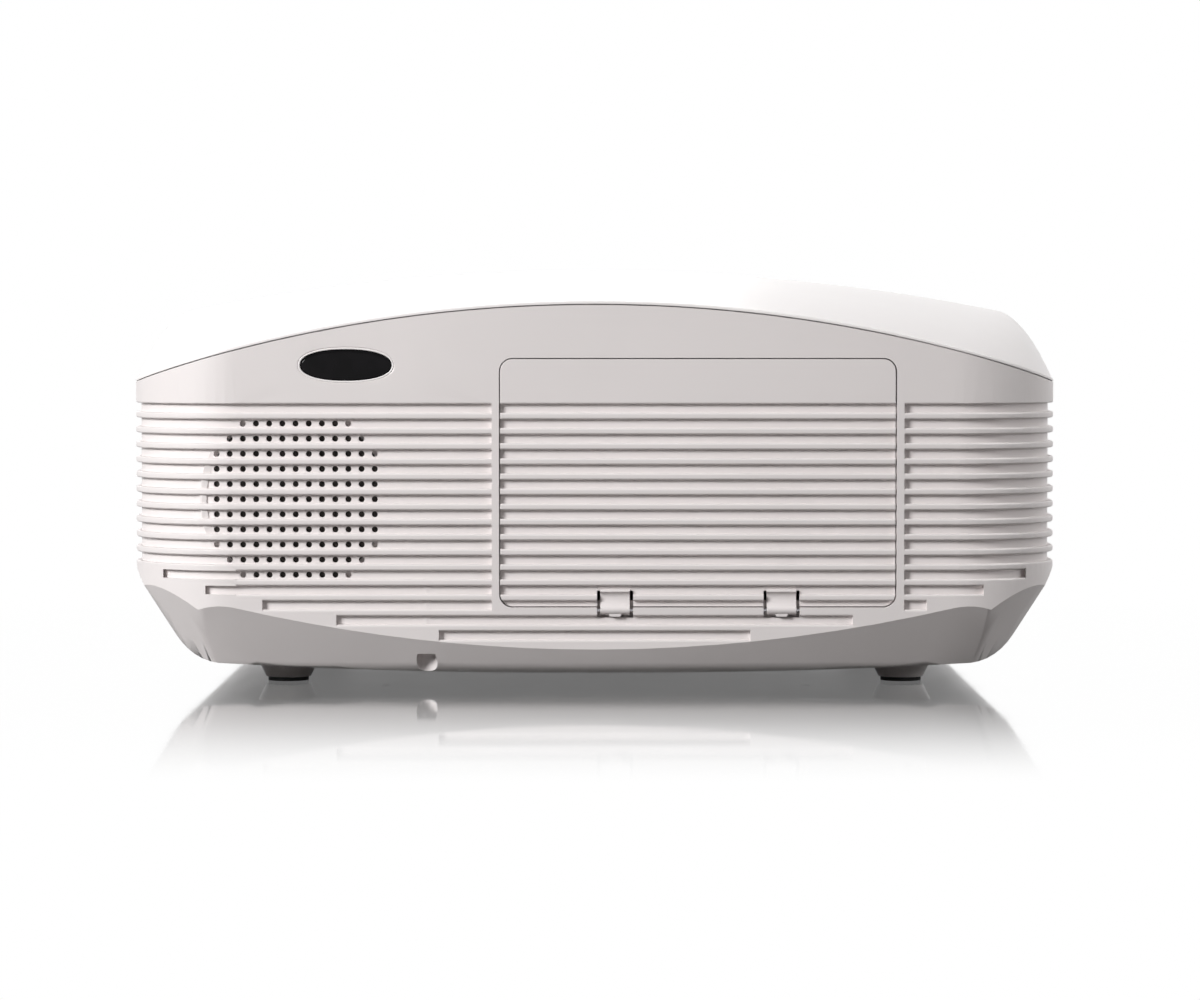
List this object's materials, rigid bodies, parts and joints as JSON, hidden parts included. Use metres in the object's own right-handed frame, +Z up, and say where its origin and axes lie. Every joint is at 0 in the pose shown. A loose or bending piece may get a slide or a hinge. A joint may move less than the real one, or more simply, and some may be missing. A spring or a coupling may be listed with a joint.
{
  "type": "projector with disc drive",
  "caption": "Table-top projector with ribbed white housing, arched cover and a drop-down door at the back over a motorised disc tray.",
  "frame": {"origin": "on the table under the middle of the body", "axes": "+X to the right seen from behind, +Y towards the lens, +Z up"},
  "size_m": [0.34, 0.2764, 0.1526],
  "materials": {
    "housing_white": "satin moulded plastic",
    "cover_white": "glossy moulded plastic",
    "black_gloss": "polished smoked plastic",
    "circuit_board": "solder mask",
    "power_board": "paper laminate",
    "rubber": "matt",
    "black_plastic": "fine spark-eroded grain",
    "dark_plastic": "satin",
    "grey_plastic": "satin",
    "light_plastic": "acetal",
    "button_grey": "satin",
    "led_lens": "clear tinted",
    "steel": "turned",
    "sheet_steel": "zinc plated",
    "brass": "turned",
    "aluminium": "extruded",
    "clear_glass": "clear",
    "lens_glass": "coated",
    "paper_cone": "pressed paper"
  },
  "bodies": {
    "housing": {"lower_housing": "housing_white", "top_cover": "cover_white", "door_hinge_pins": "steel", "ir_window": "black_gloss", "ir_receiver_board": "circuit_board", "rear_foot_pads": "rubber", "housing_screws": "steel", "keypad_panel": "grey_plastic", "keypad_board": "circuit_board", "status_led": "led_lens", "drive_chassis": "sheet_steel", "drive_top_plate": "sheet_steel", "drive_fascia": "dark_plastic", "spindle_motor": "steel", "sled_rails": "steel", "sled_motor": "steel", "loader_motor": "steel", "loader_belt": "rubber", "optical_tunnel": "black_plastic", "heatsink": "aluminium", "led_module": "light_plastic", "condenser_lens": "clear_glass", "fresnel_lenses": "clear_glass", "lcd_panel": "black_gloss", "lens_mount": "black_plastic", "lens_bezel": "grey_plastic", "fan_frame": "black_plastic", "speaker_frame": "sheet_steel", "speaker_cone": "paper_cone", "main_board": "circuit_board", "power_board": "power_board", "port_panel": "dark_plastic", "side_sockets": "steel", "power_inlet": "black_plastic"},
    "door": {"disc_door": "housing_white"},
    "tray": {"disc_tray": "dark_plastic", "tray_front_panel": "dark_plastic"},
    "turntable": {"turntable": "black_plastic"},
    "clamp": {"disc_clamp": "light_plastic"},
    "sled": {"pickup_sled": "dark_plastic", "pickup_lens": "brass"},
    "screw": {"lead_screw": "brass"},
    "gear": {"loader_gear": "light_plastic"},
    "pulley": {"motor_pulley": "light_plastic"},
    "barrel": {"lens_barrel": "black_plastic", "lens_glass": "lens_glass"},
    "ring": {"focus_ring": "black_plastic"},
    "fan": {"fan_rotor": "black_plastic"},
    "rocker": {"power_switch": "black_plastic"},
    "foot_left": {"front_foot_left": "black_plastic", "front_pad_left": "rubber"},
    "foot_right": {"front_foot_right": "black_plastic", "front_pad_right": "rubber"},
    "key_power": {"power_button": "button_grey"},
    "key_source": {"source_button": "button_grey"},
    "key_menu": {"menu_button": "button_grey"},
    "key_ok": {"ok_button": "button_grey"},
    "key_play": {"play_button": "button_grey"},
    "key_stop": {"stop_button": "button_grey"},
    "key_eject": {"eject_button": "button_grey"}
  },
  "joints": [
    {"name": "tray_slide", "type": "slide", "parent": "housing", "child": "tray", "axis": [0, -1, 0], "range_m": [0, 0.14]},
    {"name": "door_hinge", "type": "hinge", "parent": "housing", "child": "door", "pos_m": [0.0375, -0.1366, 0.0281], "axis": [1, 0, 0], "range_deg": [0, 90]},
    {"name": "gear_spin", "type": "hinge", "parent": "housing", "child": "gear", "pos_m": [0.0785, -0.0933, 0.09], "axis": [0, 0, 1], "continuous": true},
    {"name": "pulley_spin", "type": "hinge", "parent": "housing", "child": "pulley", "pos_m": [0.0445, -0.0933, 0.076], "axis": [0, 0, 1], "continuous": true},
    {"name": "turntable_spin", "type": "hinge", "parent": "housing", "child": "turntable", "pos_m": [0.0375, -0.0505, 0.09], "axis": [0, 0, 1], "continuous": true},
    {"name": "clamp_spin", "type": "hinge", "parent": "housing", "child": "clamp", "pos_m": [0.0375, -0.0505, 0.102], "axis": [0, 0, 1], "continuous": true},
    {"name": "sled_slide", "type": "slide", "parent": "housing", "child": "sled", "axis": [0, 1, 0], "range_m": [0, 0.032]},
    {"name": "screw_spin", "type": "hinge", "parent": "housing", "child": "screw", "pos_m": [0.0485, 0, 0.0786], "axis": [0, 1, 0], "continuous": true},
    {"name": "focus_turn", "type": "hinge", "parent": "housing", "child": "ring", "pos_m": [-0.086, 0.1175, 0.07], "axis": [0, 1, 0], "range_deg": [0, 90]},
    {"name": "barrel_slide", "type": "slide", "parent": "housing", "child": "barrel", "axis": [0, 1, 0], "range_m": [0, 0.006]},
    {"name": "fan_spin", "type": "hinge", "parent": "housing", "child": "fan", "pos_m": [-0.1657, -0.0421, 0.0765], "axis": [1, 0, 0], "continuous": true},
    {"name": "rocker_tilt", "type": "hinge", "parent": "housing", "child": "rocker", "pos_m": [0.1666, 0.092, 0.061], "axis": [0, 1, 0], "range_deg": [-6, 6]},
    {"name": "foot_turn_left", "type": "hinge", "parent": "housing", "child": "foot_left", "pos_m": [-0.1135, 0.1025, 0.003], "axis": [0, 0, 1], "continuous": true},
    {"name": "foot_turn_right", "type": "hinge", "parent": "housing", "child": "foot_right", "pos_m": [0.1135, 0.1025, 0.003], "axis": [0, 0, 1], "continuous": true},
    {"name": "power_press", "type": "slide", "parent": "housing", "child": "key_power", "axis": [0, 0, -1], "range_m": [0, 0.0008], "stiffness_N_per_m": 400},
    {"name": "source_press", "type": "slide", "parent": "housing", "child": "key_source", "axis": [0, 0, -1], "range_m": [0, 0.0008], "stiffness_N_per_m": 400},
    {"name": "menu_press", "type": "slide", "parent": "housing", "child": "key_menu", "axis": [0, 0, -1], "range_m": [0, 0.0008], "stiffness_N_per_m": 400},
    {"name": "ok_press", "type": "slide", "parent": "housing", "child": "key_ok", "axis": [0, 0, -1], "range_m": [0, 0.0008], "stiffness_N_per_m": 400},
    {"name": "play_press", "type": "slide", "parent": "housing", "child": "key_play", "axis": [0, 0, -1], "range_m": [0, 0.0008], "stiffness_N_per_m": 400},
    {"name": "stop_press", "type": "slide", "parent": "housing", "child": "key_stop", "axis": [0, 0, -1], "range_m": [0, 0.0008], "stiffness_N_per_m": 400},
    {"name": "eject_press", "type": "slide", "parent": "housing", "child": "key_eject", "axis": [0, 0, -1], "range_m": [0, 0.0008], "stiffness_N_per_m": 400}
  ],
  "couplings": [
    {"joint": "door_hinge", "follows": "tray_slide", "rad_per_m": 11.22},
    {"joint": "gear_spin", "follows": "tray_slide", "rad_per_m": -83.333},
    {"joint": "pulley_spin", "follows": "tray_slide", "rad_per_m": -308.33},
    {"joint": "clamp_spin", "follows": "turntable_spin", "ratio": 1},
    {"joint": "screw_spin", "follows": "sled_slide", "rad_per_m": 2094.4},
    {"joint": "barrel_slide", "follows": "focus_turn", "m_per_rad": 0.0038197}
  ]
}
